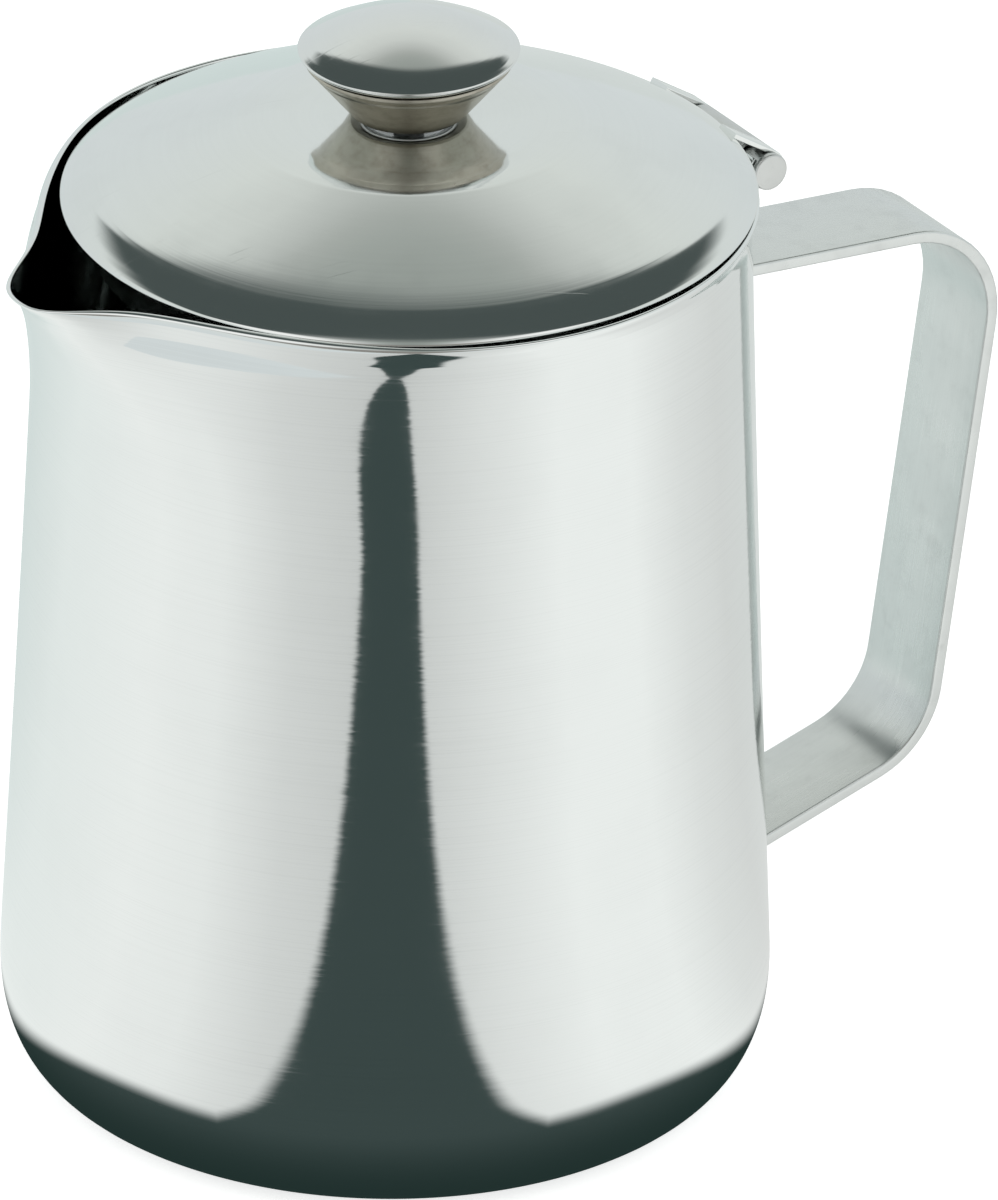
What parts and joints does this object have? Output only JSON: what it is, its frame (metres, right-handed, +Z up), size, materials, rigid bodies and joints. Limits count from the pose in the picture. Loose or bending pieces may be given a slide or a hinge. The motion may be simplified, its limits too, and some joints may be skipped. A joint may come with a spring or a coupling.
{
  "type": "milk frothing jug",
  "caption": "Polished stainless-steel milk frothing jug with a pulled spout, bent strap handle and hinged domed lid with a turned knob.",
  "frame": {"origin": "centre of the flat base, on the surface that the jug stands on", "axes": "+Z up along the jug's axis, +X towards the handle and hinge, -X towards the spout, Y along the hinge pin"},
  "size_m": [0.1656, 0.1152, 0.1677],
  "materials": {
    "jug_polish": "mirror polished stainless steel with faint drawn brushing",
    "lid_polish": "polished stainless steel with hairline scratches",
    "strap_satin": "satin stainless strap with handling marks",
    "turned_steel": "lathe-turned, matte, warm grey",
    "plain_steel": "plain mill finish"
  },
  "bodies": {
    "jug": {"jug_shell": "jug_polish", "handle_strap": "strap_satin", "hinge_bracket": "plain_steel", "hinge_pin": "plain_steel"},
    "lid": {"lid_shell": "lid_polish", "lid_skirt": "plain_steel", "knob_body": "turned_steel", "knob_cap": "lid_polish", "knob_washer": "plain_steel", "lock_washer": "plain_steel", "knob_screw": "plain_steel"}
  },
  "joints": [
    {"name": "lid_hinge", "type": "hinge", "parent": "jug", "child": "lid", "pos_m": [0.0573, 0, 0.1346], "axis": [0, 1, 0], "range_deg": [0, 105]}
  ]
}
